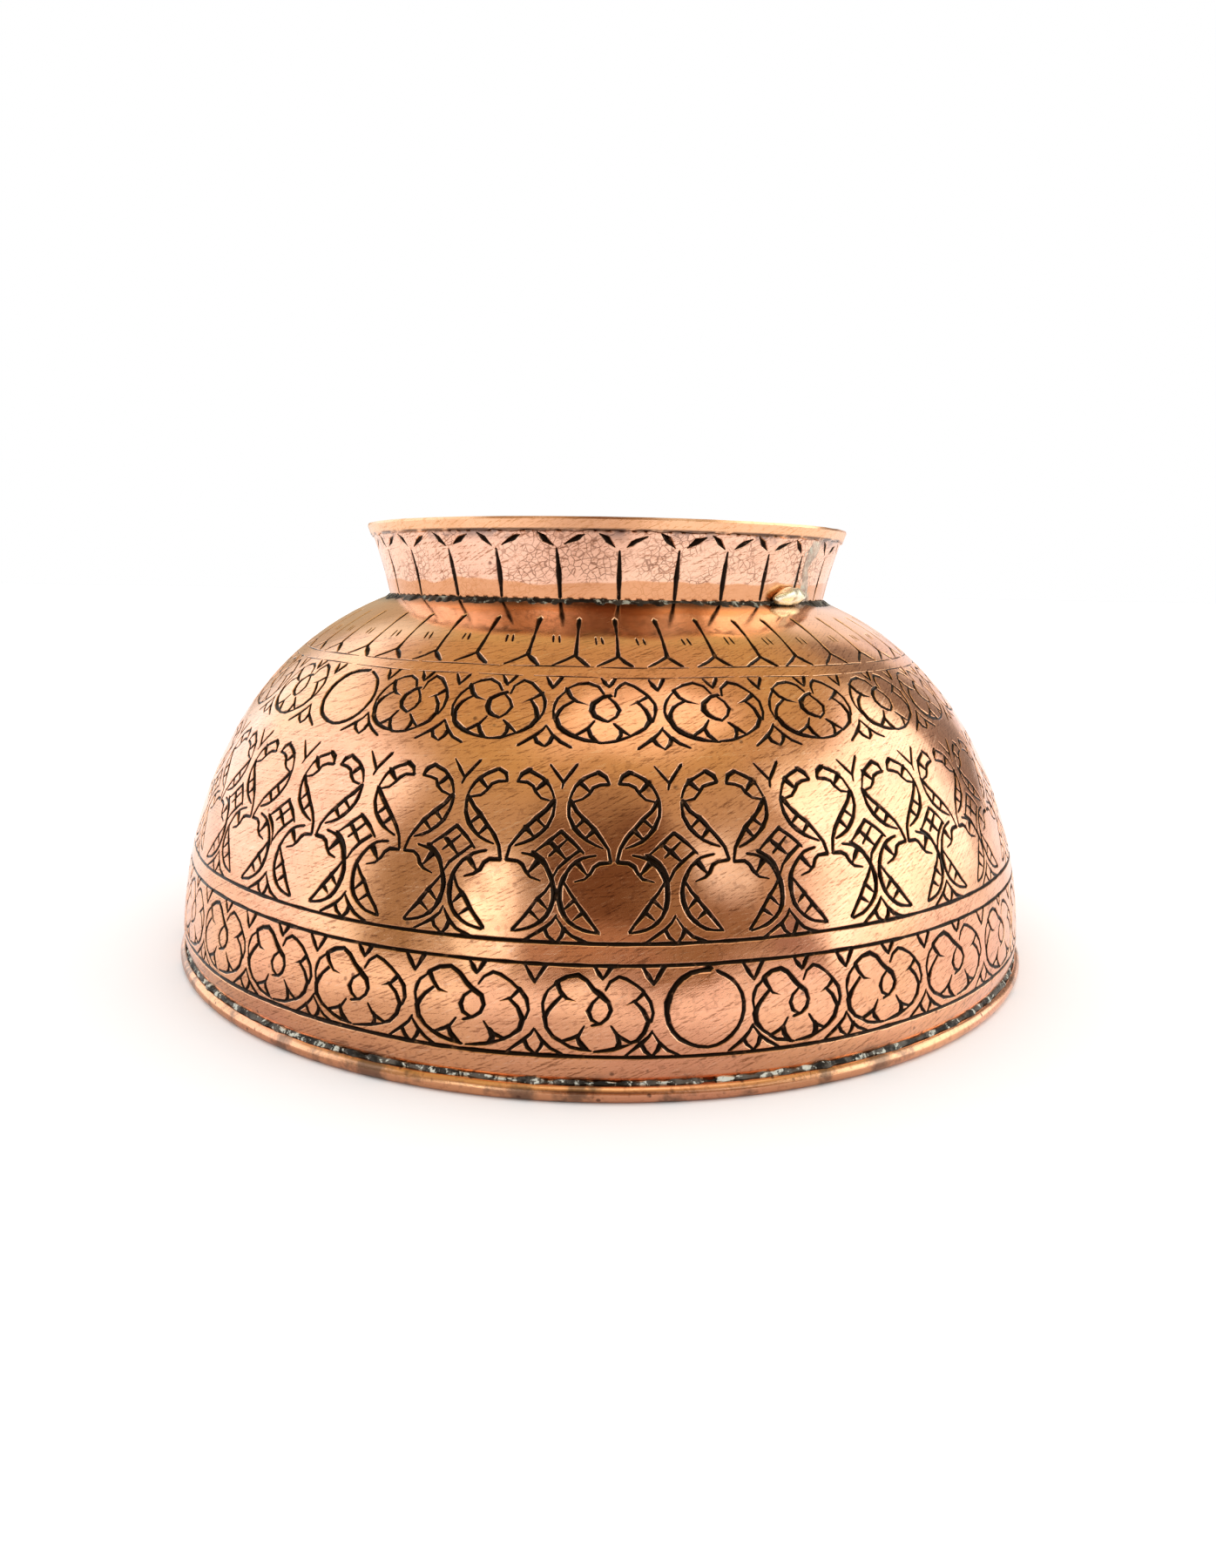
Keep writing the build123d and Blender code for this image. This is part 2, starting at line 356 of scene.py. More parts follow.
# The diamond of four squares between two hearts, and the curves that lead out of it.
FOUR_SQUARES = [
    ((0.3, 0.5, 0.5), [(-4.1, 36.9), (-2.0, 38.6), (0.2, 40.4)]),
    ((0.5, 0.55, 0.3), [(0.2, 40.4), (2.3, 38.7), (4.0, 36.9)]),
    ((0.5, 0.55, 0.2), [(-4.4, 36.8), (-2.5, 35.5), (-1.3, 33.6), (-0.9, 31.6)]),
    ((0.45, 0.5, 0.3), [(3.4, 37.2), (1.3, 35.6), (-0.1, 34.2), (-0.9, 32.6)]),
    ((0.6, 0.6, 0.4), [(-1.4, 38.2), (0.9, 35.9)]),
    ((0.35, 0.45, 0.35), [(-1.6, 36.3), (1.2, 38.9)]),
]


def vee(half_width, depth):
    """A V that hangs from a line at its own zero height."""
    return [
        ((0.35, 0.6, 0.35), [(-half_width, 0.0), (0.0, -depth)]),
        ((0.55, 0.55, 0.3), [(half_width, 0.0), (0.05, -depth)]),
    ]


def wye(lift):
    """The same V with a short tail, standing free."""
    return [
        ((0.3, 0.45, 0.4), [(-2.5, lift), (0.1, lift - 3.1)]),
        ((0.5, 0.5, 0.3), [(2.5, lift + 0.1), (0.2, lift - 3.1), (-0.1, lift - 4.2)]),
    ]


def tent(spread):
    """Two legs from a point, and two short cuts that make a diamond between them."""
    return [
        ((0.3, 0.5, 0.35), [(0.0, 4.2), (-0.6, 3.2), (-1.7, 2.1), (-spread, 0.1)]),
        ((0.3, 0.5, 0.35), [(0.05, 3.9), (1.2, 2.2), (2.5, 1.0), (spread, 0.1)]),
        ((0.5, 0.5, 0.3), [(-1.7, 2.0), (-1.2, 0.9), (-0.1, 0.1)]),
        ((0.55, 0.5, 0.3), [(1.3, 2.0), (0.9, 0.9), (0.1, 0.0)]),
    ]


# The line between two petals, forked at its lower end; its runs are the band's own.
PETAL_LINE = [
    ((0.8, 0.4, 0.6), [(-0.3, 86.3), (0.0, 81.0), (0.1, 75.0)]),
    ((0.45, 0.5, 0.3), [(0.0, 74.9), (-1.6, 73.7), (-3.7, 72.3)]),
    ((0.45, 0.7, 0.5), [(0.2, 74.8), (1.4, 73.6), (2.6, 72.4)]),
]

# The two short ticks inside a petal.
PETAL_TICKS = [
    ((0.3, 0.38, 0.25), [(-0.8, 80.2), (-0.5, 78.4)]),
    ((0.25, 0.38, 0.3), [(0.4, 80.3), (0.8, 78.5)]),
]


# ---------------------------------------------------------------- the bands of engraving
def spread(front, total):
    """Bearings of a band's figures: the front ones as given, the rest evenly spread."""
    gap = (360 - front[-1] + front[0]) / (total - len(front) + 1)
    return [*front, *(front[-1] + gap * (k + 1) for k in range(total - len(front)))]


class Band:
    """Strokes on one stretch of the bowl, laid out flat at the stretch's own radius."""

    def __init__(self, surface, low, high, radius, seed):
        self.surface, self.low, self.high, self.radius = surface, low, high, radius
        self.rng = random.Random(seed)
        self.strokes = []

    def figure(self, shapes, bearing, run=0.0, stretch=1.0, mirror=False, unsteady=0.10):
        """Cuts one figure, repeated a full turn away where it comes near the back seam."""
        slip = (self.rng.uniform(-0.15, 0.15), self.rng.uniform(-0.12, 0.12))
        sign = -1 if mirror else 1
        for widths, points in shapes:
            shaky = [
                (x + self.rng.uniform(-unsteady, unsteady), y + self.rng.uniform(-unsteady, unsteady))
                for x, y in points
            ]
            stroke = Stroke(shaky, widths, self.rng)
            for turn in (-360, 0, 360):
                if abs(bearing + turn) < 200:
                    centre = math.radians(bearing + turn) * self.radius + slip[0]
                    self.strokes.append(
                        stroke.moved(lambda x, y: (centre + sign * x * stretch, y + run + slip[1]))
                    )

    def ring(self, run, width, sway, breaks=0.0):
        """Cuts a line right round the bowl, whole or in lengths with gaps between them."""
        half_turn = math.pi * self.radius
        phases = [self.rng.uniform(0, TURN) for _ in range(3)]

        def height(x):
            angle = x / self.radius
            waves = (math.cos(n * angle + p) for n, p in zip((2, 5, 11), phases))
            return run + sway * sum(waves) / 3

        if not breaks:
            count = round(2 * half_turn / 2.4)
            widths = [width * self.rng.uniform(0.8, 1.2) for _ in range(count)]
            xs = [(k / count * 2 - 1) * half_turn for k in range(-2, count + 3)]
            stroke = Stroke([(x, height(x)) for x in xs], (width, width, width), None, 3.0, False)
            stroke.half = np.array([widths[k % count] / 2 * CUT_WIDTH for k in range(-2, count + 3)])
            self.strokes.append(stroke)
            return
        x = -half_turn + 1
        while x < half_turn - 6:
            end = min(x + self.rng.uniform(4, 16), half_turn - 1)
            points = [(u, height(u)) for u in np.linspace(x, end, max(2, round((end - x) / 4)))]
            self.strokes.append(Stroke(points, (width * 0.6, width, width * 0.6), self.rng, 2.0))
            x = end + self.rng.uniform(0.2, breaks)


def between(bearings):
    """The middle of the gap after each figure."""
    following = [*bearings[1:], bearings[0] + 360]
    return [(a + b) / 2 for a, b in zip(bearings, following)]


def stretches(band, bearings, pitch, widest):
    """How far each figure is stretched to fill its room, up to widest."""
    gaps = between(bearings)
    rooms = [after - before for before, after in zip([gaps[-1] - 360, *gaps], gaps)]
    return [min(math.radians(room) * band.radius / pitch, widest) for room in rooms]


def bowl_band(number, seed):
    """One of the bowl's bands of engraving, counted from the rim."""
    return Band(SHELL, *BAND_EDGES[number:number + 2], BAND_RADII[number], seed)


def cut_lower_band():
    band = bowl_band(0, 11)
    line_low, line_high, centre = 4.3, 19.05, 11.7
    front = (-58.8, -47.4, -36.1, -24.7, -12.3, -0.1, 10.2, 19.8, 30.7, 42.6, 55.3)
    plain = 10.2
    bearings = spread(front, 32)
    for bearing, stretch in zip(bearings, stretches(band, bearings, 19.4, 1.08)):
        if bearing == plain:
            band.figure(plain_circle(12.9, 12.6), bearing, centre + 0.2)
            continue
        band.figure(LOWER_FLOWER, bearing, centre, stretch)
        band.figure(vee(1.3, 1.9), bearing + 0.4, line_high - 0.2)
    for gap in between(bearings):
        band.figure(vee(1.7, 2.7), gap, line_high - 0.2)
        band.figure(tent(4.3), gap, line_low + 0.15)
    band.ring(line_low, 0.5, 0.18)
    band.ring(line_high, 0.45, 0.15)
    return band


def cut_heart_band():
    band = bowl_band(1, 12)
    line = 22.5
    front = (-58.4, -46.8, -34.0, -21.7, -10.3, 1.3, 13.5, 25.2, 36.9, 48.2, 59.6)
    bearings = spread(front, 30)
    for bearing in bearings:
        for mirror in (False, True):
            band.figure(HEART_HALF, bearing, 0.0, 1.0, mirror)
    for gap in between(bearings):
        band.figure(FOUR_SQUARES, gap)
        band.figure(wye(51.8), gap)
        band.figure(tent(4.8), gap, line + 0.1)
    band.ring(line, 0.45, 0.15)
    return band


def cut_upper_band():
    band = bowl_band(2, 13)
    line, centre = 69.6, 62.5
    front = (-51.9, -38.5, -27.1, -14.0, -0.1, 14.5, 29.3, 43.9, 58.0)
    plain = -38.5
    bearings = spread(front, 26)
    for bearing, stretch in zip(bearings, stretches(band, bearings, 18.6, 1.05)):
        if bearing == plain:
            band.figure(plain_circle(12.8, 12.4), bearing, centre)
            continue
        band.figure(UPPER_FLOWER, bearing, centre, stretch)
        band.figure(vee(1.3, 2.1), bearing + 0.5, line - 0.2)
    for gap in between(bearings):
        band.figure(vee(1.3, 2.4), gap, line - 0.3)
        band.figure(tent(4.2), gap, 55.0)
    band.ring(line, 0.22, 0.2, 2.5)
    return band


def cut_petal_band():
    band = bowl_band(3, 14)
    front = (-52.4, -43.6, -35.9, -28.0, -20.3, -12.0, -4.6, 1.9, 9.4, 16.8, 24.9, 31.9,
             40.2, 49.0, 57.1)
    bearings = spread(front, 46)
    for bearing in bearings:
        band.figure(PETAL_LINE, bearing)
    for gap in between(bearings):
        band.figure(PETAL_TICKS, gap + 0.2)
    band.ring(72.0, 0.24, 0.2, 2.5)
    return band


# ---------------------------------------------------------------- cutting the strokes into a mesh
class Cuts:
    """Finds how deep a band's cuts are at any place, by sorting their pieces into cells."""

    CELL = 2.0

    def __init__(self, strokes):
        self.cells = {}
        pieces = []
        for stroke in strokes:
            line, half = stroke.line, stroke.half
            for k in range(len(line) - 1):
                pieces.append((*line[k], *line[k + 1], half[k], half[k + 1]))
        self.pieces = np.array(pieces)
        for index, (ax, ay, bx, by, ha, hb) in enumerate(pieces):
            margin = max(ha, hb)
            for i in range(self.cell(min(ax, bx) - margin), self.cell(max(ax, bx) + margin) + 1):
                for j in range(self.cell(min(ay, by) - margin), self.cell(max(ay, by) + margin) + 1):
                    self.cells.setdefault((i, j), []).append(index)

    def cell(self, value):
        return int(value // self.CELL)

    def depth(self, places):
        """Depth at each place: a V across each cut, and the deeper cut where two meet."""
        result = np.zeros(len(places))
        groups = {}
        for index, (x, y) in enumerate(places):
            groups.setdefault((self.cell(x), self.cell(y)), []).append(index)
        for key, members in groups.items():
            if key not in self.cells:
                continue
            piece = self.pieces[self.cells[key]]
            point = places[members][:, None, :]
            start, end = piece[None, :, 0:2], piece[None, :, 2:4]
            along = end - start
            t = ((point - start) * along).sum(-1) / np.maximum((along ** 2).sum(-1), 1e-9)
            t = np.clip(t, 0, 1)
            distance = np.linalg.norm(point - start - t[..., None] * along, axis=-1)
            half = piece[None, :, 4] * (1 - t) + piece[None, :, 5] * t
            result[members] = np.maximum((half - distance) * GROOVE_SLOPE, 0).max(1)
        return result


LAND, GROOVE = 0, 1           # the two kinds of face


def edge(surface, run, out=0.0):
    """One line round a surface, as radius and height by bearing, moved outwards."""
    def line(bearing):
        r, z = surface.shape(bearing, np.full_like(bearing, run))
        return r + out, z
    return line


def ruled(first, last):
    """The surface between two edges; its run goes from 0 to 1."""
    def shape(bearing, run):
        (r_first, z_first), (r_last, z_last) = first(bearing), last(bearing)
        return r_first * (1 - run) + r_last * run, z_first * (1 - run) + z_last * run
    return Surface(shape)


class Mesh:
    """Points, surface normals, flat coordinates and faces, gathered from several makers."""

    def __init__(self):
        self.points, self.normals, self.flat, self.cut = [], [], [], []
        self.faces, self.kinds = [], []
        self.count = 0

    def add(self, points, normals, flat, faces, kinds, cut=None):
        self.points.append(points)
        self.normals.append(normals)
        self.flat.append(flat)
        self.cut.append(np.zeros(len(points)) if cut is None else cut)
        self.faces.extend(tuple(int(v) + self.count for v in face) for face in faces)
        self.kinds.extend(kinds)
        self.count += len(points)

    def grid(self, surface, bearings, runs, flip=False, scale=None, planar=False):
        """A net of quads, one row for each run; a planar one's texture is laid out from above."""
        b, s = np.meshgrid(bearings, runs)
        points, normals = surface.place(b.ravel(), s.ravel(), np.zeros(b.size), flip)
        radius = scale or float(np.hypot(points[:, 0], points[:, 1]).max())
        across = len(bearings)
        faces = []
        for j in range(len(runs) - 1):
            for i in range(across - 1):
                a = j * across + i
                quad = (a, a + 1, a + 1 + across, a + across)
                faces.append(quad[::-1] if flip else quad)
        flat = points[:, :2] if planar else np.stack([b.ravel() * radius, s.ravel()], 1)
        self.add(points, normals, flat, faces, [LAND] * len(faces))

    def strips(self, edges, bearings, flip=False):
        """Strips from each edge to the next; an edge gives radius and height for a bearing."""
        for first, last in zip(edges, edges[1:]):
            self.grid(ruled(first, last), bearings, (0, 1), flip=flip)


def cut_sector(mesh, band, cuts, left, right, columns, row_step):
    """Triangulates one sector of a band with its cuts' edges and bottoms, and sinks the bottoms."""
    xs = np.linspace(left, right, columns + 1)
    rows = max(2, round((band.high - band.low) / row_step))
    ys = np.linspace(band.low, band.high, rows + 1)
    places = [(x, y) for y in ys for x in xs]
    edges = []
    for y in (0, rows):
        for x in range(columns):
            edges.append((y * (columns + 1) + x, y * (columns + 1) + x + 1))
    for x in (0, columns):
        for y in range(rows):
            edges.append((y * (columns + 1) + x, (y + 1) * (columns + 1) + x))
    for stroke in band.strokes:
        low, high = stroke.reach
        if high < left or low > right:
            continue
        outline = stroke.outline()
        base = len(places)
        places.extend(tuple(p) for p in outline)
        edges.extend((base + k, base + (k + 1) % len(outline)) for k in range(len(outline)))
        base = len(places)
        places.extend(tuple(p) for p in stroke.line)
        edges.extend((base + k, base + k + 1) for k in range(len(stroke.line) - 1))
    found = delaunay_2d_cdt([Vector(p) for p in places], edges, [], 0, 1e-4, False)
    flat = np.array([tuple(v) for v in found[0]])
    triangles = np.array(found[2])
    centre = flat[triangles].mean(1)
    inside = (centre[:, 0] > left) & (centre[:, 0] < right)
    inside &= (centre[:, 1] > band.low) & (centre[:, 1] < band.high)
    triangles = triangles[inside]
    groove = cuts.depth(centre[inside]) > SHALLOWEST
    depth = cuts.depth(flat)
    touched = np.zeros(len(flat), bool)
    touched[triangles[groove].ravel()] = True
    depth[~touched] = 0
    used = np.unique(triangles)
    renumber = np.zeros(len(flat), int)
    renumber[used] = np.arange(len(used))
    flat, depth = flat[used], depth[used]
    points, normals = band.surface.place(flat[:, 0] / band.radius, flat[:, 1], depth)
    kinds = [GROOVE if g else LAND for g in groove]
    mesh.add(points, normals, flat, renumber[triangles].tolist(), kinds, depth)


def cut_band(mesh, band, sectors=24, columns=COLUMNS, row_step=3.8):
    """Cuts a whole band, a sector at a time, because small nets are much quicker to make."""
    cuts = Cuts(band.strokes)
    for stroke in band.strokes:
        margin = stroke.half.max() * 2.5
        stroke.reach = (stroke.line[:, 0].min() - margin, stroke.line[:, 0].max() + margin)
    sides = np.linspace(-math.pi, math.pi, sectors + 1) * band.radius
    for left, right in zip(sides, sides[1:]):
        cut_sector(mesh, band, cuts, left, right, columns // sectors, row_step)


def new_piece(name, data, material):
    """A smooth-shaded object of one mesh and one material."""
    for polygon in data.polygons:
        polygon.use_smooth = True
    data.materials.append(material)
    piece = bpy.data.objects.new(name, data)
    bpy.context.scene.collection.objects.link(piece)
    return piece


def weld_and_shade(name, mesh, material):
    """Makes the Blender object: welded, with the surfaces' own normals on the uncut faces."""
    points = np.concatenate(mesh.points) * MM
    data = bpy.data.meshes.new(name)
    data.from_pydata(points.tolist(), [], mesh.faces)
    order = np.array([v for face in mesh.faces for v in face])
    sizes = np.array([len(face) for face in mesh.faces])
    cut_face = np.repeat(np.array(mesh.kinds) == GROOVE, sizes)
    flat_normal = np.zeros(len(data.polygons) * 3)
    data.polygons.foreach_get("normal", flat_normal)
    chosen = np.concatenate(mesh.normals)[order]
    chosen[cut_face] = np.repeat(flat_normal.reshape(-1, 3), sizes, axis=0)[cut_face]
    depth = np.concatenate(mesh.cut)[order]
    layer = data.uv_layers.new(name="UVMap")
    layer.data.foreach_set("uv", (np.concatenate(mesh.flat)[order] * 0.01).ravel())
    kept = data.attributes.new("kept_normal", "FLOAT_VECTOR", "CORNER")
    kept.data.foreach_set("vector", chosen.ravel())
    darkness = data.attributes.new("cut", "FLOAT", "CORNER")
    darkness.data.foreach_set("value", np.where(cut_face, 0.5 + 2.2 * depth, 0.0).clip(0, 1))
    work = bmesh.new()
    work.from_mesh(data)
    bmesh.ops.remove_doubles(work, verts=work.verts, dist=1e-6)
    work.to_mesh(data)
    work.free()
    piece = new_piece(name, data, material)
    normals = np.zeros(len(data.loops) * 3)
    data.attributes["kept_normal"].data.foreach_get("vector", normals)
    data.attributes.remove(data.attributes["kept_normal"])
    data.normals_split_custom_set(normals.reshape(-1, 3).tolist())
    return piece


# ---------------------------------------------------------------- the bowl
def noise_line(seed, size, turns, count=9):
    """A function of the bearing that wanders about zero and closes on itself."""
    rng = random.Random(seed)
    parts = [(size * rng.uniform(0.3, 1.0), rng.randint(*turns), rng.uniform(0, TURN))
             for _ in range(count)]
    return lambda bearing: sum(s * np.cos(n * bearing + p) for s, n, p in parts) / math.sqrt(count)


ROUND = np.linspace(-math.pi, math.pi, COLUMNS + 1)
ROUND_FINE = np.linspace(-math.pi, math.pi, 2 * COLUMNS + 1)


def rolled_edge():
    """The roll round the wire, flat underneath, with dents; its run is in degrees.

    The runs go once over the outside, then back over the inside, and past that to the start.
    """
    dent = noise_line(21, 0.07, (5, 60), 14)
    twist = noise_line(22, 1.0, (3, 30), 8)

    def shape(bearing, run):
        run = np.where(run > 2 * ROLL_SWEEP + 1.5, 0.0, run)
        outside = run <= ROLL_SWEEP
        angle = np.radians(180 + np.where(outside, run, 2 * ROLL_SWEEP + 1 - run))
        upper = np.clip(np.sin(angle), 0, 1)
        uneven = (dent(bearing + 0.02 * np.sin(angle)) - 0.05) * upper
        uneven = uneven + 0.03 * twist(bearing) * np.sin(2 * angle) * upper
        radius = np.where(outside, HEM_RADIUS + uneven, WIRE_RADIUS)
        z = WIRE_Z + radius * np.sin(angle)
        return WIRE_CENTRE + radius * np.cos(angle), np.maximum(z, 0.0)
    return Surface(shape)


UNDER_JOINT = WALL.run_at_radius(FOOT_ROOT[0])


def make_bowl(material):
    mesh = Mesh()
    for band in (cut_lower_band(), cut_heart_band(), cut_upper_band(), cut_petal_band()):
        cut_band(mesh, band)
    mesh.grid(SHELL, ROUND, np.linspace(WALL_EDGE, BAND_EDGES[0], 9), scale=BAND_RADII[0])
    mesh.grid(SHELL, ROUND, np.linspace(BAND_EDGES[-1], UNDER_JOINT, 6))
    mesh.grid(SHELL, ROUND, np.linspace(UNDER_JOINT, WALL.length, 14), planar=True)
    inside = (*np.linspace(WALL_EDGE, 4, 6), *np.linspace(6, WALL_INSIDE.length, 23))
    mesh.grid(LINING, ROUND, inside, flip=True)
    mesh.strips([edge(SHELL, WALL_EDGE), edge(LINING, WALL_EDGE)], ROUND, flip=True)
    outside = np.linspace(0, ROLL_SWEEP, 15)
    inside = np.linspace(ROLL_SWEEP + 1, 2 * ROLL_SWEEP + 1, 5)
    mesh.grid(rolled_edge(), ROUND_FINE, [*outside, *inside, 2 * ROLL_SWEEP + 2], flip=True)
    return weld_and_shade("engraved_bowl", mesh, material)


# ---------------------------------------------------------------- the foot and the solder
FOLD_LOW = STRIP.run_at_z(HEIGHT - FOLD_HEIGHT)
STRIP_TOP = STRIP.run_at_z(HEIGHT)


def foot_strokes():
    """A long dart on the foot and the pair of short cuts above it, given by height."""
    cuts = [
        ((0.3, 0.78, 0.5), [(-0.1, 87.9), (0.0, 84.0), (0.05, 79.0)]),
        ((0.2, 0.78, 0.2), [(-3.8, 91.0), (-2.4, 89.9), (-0.9, 88.5)]),
        ((0.2, 0.78, 0.2), [(1.4, 88.7), (3.2, 89.7), (5.2, 90.5)]),
    ]
    return [(widths, [(x, STRIP.run_at_z(z)) for x, z in points]) for widths, points in cuts]


def cut_foot_band():
    front = (-49.4, -35.9, -23.7, -10.3, 2.5, 15.1, 26.3, 37.5, 49.3, 62.1)
    band = Band(FOOT, FOOT_LOW, FOLD_LOW + FOLD_COVER, FOOT_BAND_RADIUS, 15)
    for bearing in spread(front, 29):
        band.figure(foot_strokes(), bearing, unsteady=0.12)
    return band


FOLD_EDGE = noise_line(31, 0.34, (4, 90), 18)
FOLD_LIFT = noise_line(32, 0.05, (3, 30), 8)


def fold_face():
    """The outside of the fold; its lower edge wanders, and runs above it close up evenly."""
    def shape(bearing, run):
        share = np.clip((STRIP_TOP - run) / (STRIP_TOP - FOLD_LOW), 0, 1.3)
        moved = run + FOLD_EDGE(bearing) * share
        r, z = STRIP(moved)
        lift = (FOLD_SHEET + FOLD_LIFT(bearing) * share) + wave(FOOT_WAVES, bearing, run)
        lean = math.radians(FOOT_LEAN + 10)
        return r + lift * math.cos(lean), z - lift * math.sin(lean)
    return Surface(shape)


def make_foot(material):
    mesh = Mesh()
    cut_band(mesh, cut_foot_band(), sectors=12, columns=288, row_step=1.3)
    face = fold_face()
    face_low, face_high = FOLD_LOW + 0.12, STRIP_TOP - 0.35
    bearings = np.linspace(-math.pi, math.pi, FOOT_BEARINGS + 1)
    mesh.grid(face, bearings, np.linspace(face_low, face_high, 5))
    worn = noise_line(33, 0.06, (3, 24), 9)

    def top(out):
        def line(bearing):
            r = edge(face, face_high, out)(bearing)[0]
            return r, np.full_like(bearing, HEIGHT) - np.abs(worn(bearing)) * 0.8
        return line

    inner_top = STRIP_INSIDE.run_at_z(HEIGHT) - 0.4
    lip = [edge(face, face_low), edge(face, FOLD_LOW, -0.12), edge(face, FOLD_LOW - 0.03, -0.36),
           edge(FOOT, FOLD_LOW + FOLD_COVER)]
    crown = [edge(face, face_high), top(-0.12), top(-0.32), top(-0.85), edge(FOOT_INSIDE, inner_top)]
    mesh.strips(lip, bearings, flip=True)
    mesh.strips(crown, bearings)
    mesh.grid(FOOT_INSIDE, bearings, np.linspace(FOOT_INSIDE_LOW, inner_top, 10), flip=True)
    mesh.strips([edge(FOOT, FOOT_LOW), edge(FOOT_INSIDE, FOOT_INSIDE_LOW)], bearings, flip=True)
    return weld_and_shade("foot", mesh, material)


def ring_of_solder(name, material, section, count, seed, size):
    """A run of solder: a section of (radius, height, share of the bulge) that wanders."""
    mesh = Mesh()
    bulge = noise_line(seed, size, (6, 170), 26)
    drift = noise_line(seed + 1, size * 0.7, (4, 120), 16)
    supply = noise_line(seed + 2, size * 0.8, (2, 9), 6)

    def corner(r, z, swell):
        return lambda b: (r + swell * (bulge(b + 0.01 * z) + supply(b)), z + 0.6 * swell * drift(b))
    edges = [corner(*point) for point in [*section, section[0]]]
    mesh.strips(edges, np.linspace(-math.pi, math.pi, count + 1), flip=True)
    return weld_and_shade(name, mesh, material)


def make_smear(material):
    """Tin smeared along the foot's seam, in a streak that climbs from the lump to the fold."""
    grain = make_waves(41, 26, 0.05, (40, 420), (-2.5, 2.5))
    low, high, bottom, top = 47.5, 60.5, 1.6, 17.2      # the sheet's bearings and runs

    def shape(bearing, run):
        middle = SEAM_BEARING - 0.6 + 1.2 * np.sin(run * 0.45)
        width = 1.0 + 0.9 * np.exp(-((run - 4.5) / 2.4) ** 2) + 1.1 * np.exp(-((run - 13.5) / 1.8) ** 2)
        edges = 1 - ((np.degrees(bearing) - middle) / (width * 1.7)) ** 2
        ends = np.clip(np.minimum(run - 2.0, 16.4 - run) / 1.2, -1, 1)
        thick = np.minimum(edges, ends) * 0.26 - 0.10 + wave(grain, bearing, run) * 0.55
        r, z = FOOT.shape(bearing, run)
        return r + np.clip(thick, -0.35, 0.4), z        # where it is below nought it is inside the foot

    mesh = Mesh()
    mesh.grid(Surface(shape), np.radians(np.linspace(low, high, 70)), np.linspace(bottom, top, 60))
    return weld_and_shade("seam_solder", mesh, material)


def make_lump(material):
    """The spare solder on the joint: a long lump with a few soft folds."""
    work = bmesh.new()
    bmesh.ops.create_icosphere(work, subdivisions=5, radius=1.0)
    rng = random.Random(51)
    folds = [(Vector((rng.uniform(-1, 1), rng.uniform(-1, 1), rng.uniform(-1, 1))) * rng.uniform(2, 5),
              rng.uniform(0, TURN), rng.uniform(0.02, 0.06)) for _ in range(18)]
    angle = math.radians(LUMP_BEARING)
    out = Vector((math.sin(angle), -math.cos(angle), 0))
    side = Vector((math.cos(angle), math.sin(angle), 0))
    up = Vector((0, 0, 1))
    for vertex in work.verts:
        p = vertex.co.copy()
        swell = 1 + sum(size * math.cos(p.dot(way) + phase) for way, phase, size in folds)
        waist = 1 - 0.16 * math.exp(-((p.x - 0.1) / 0.25) ** 2)
        bend = p.x * math.radians(LUMP_SPAN)
        r = LUMP_RADIUS + p.y * LUMP_THICK * swell * waist - 0.1 * p.x * p.x
        z = LUMP_Z + p.z * LUMP_TALL * swell * waist + 0.35 * p.x
        turned = out * math.cos(bend) + side * math.sin(bend)
        vertex.co = (turned * r + up * z) * MM
    data = bpy.data.meshes.new("lump")
    work.to_mesh(data)
    work.free()
    return new_piece("lump_of_solder", data, material)


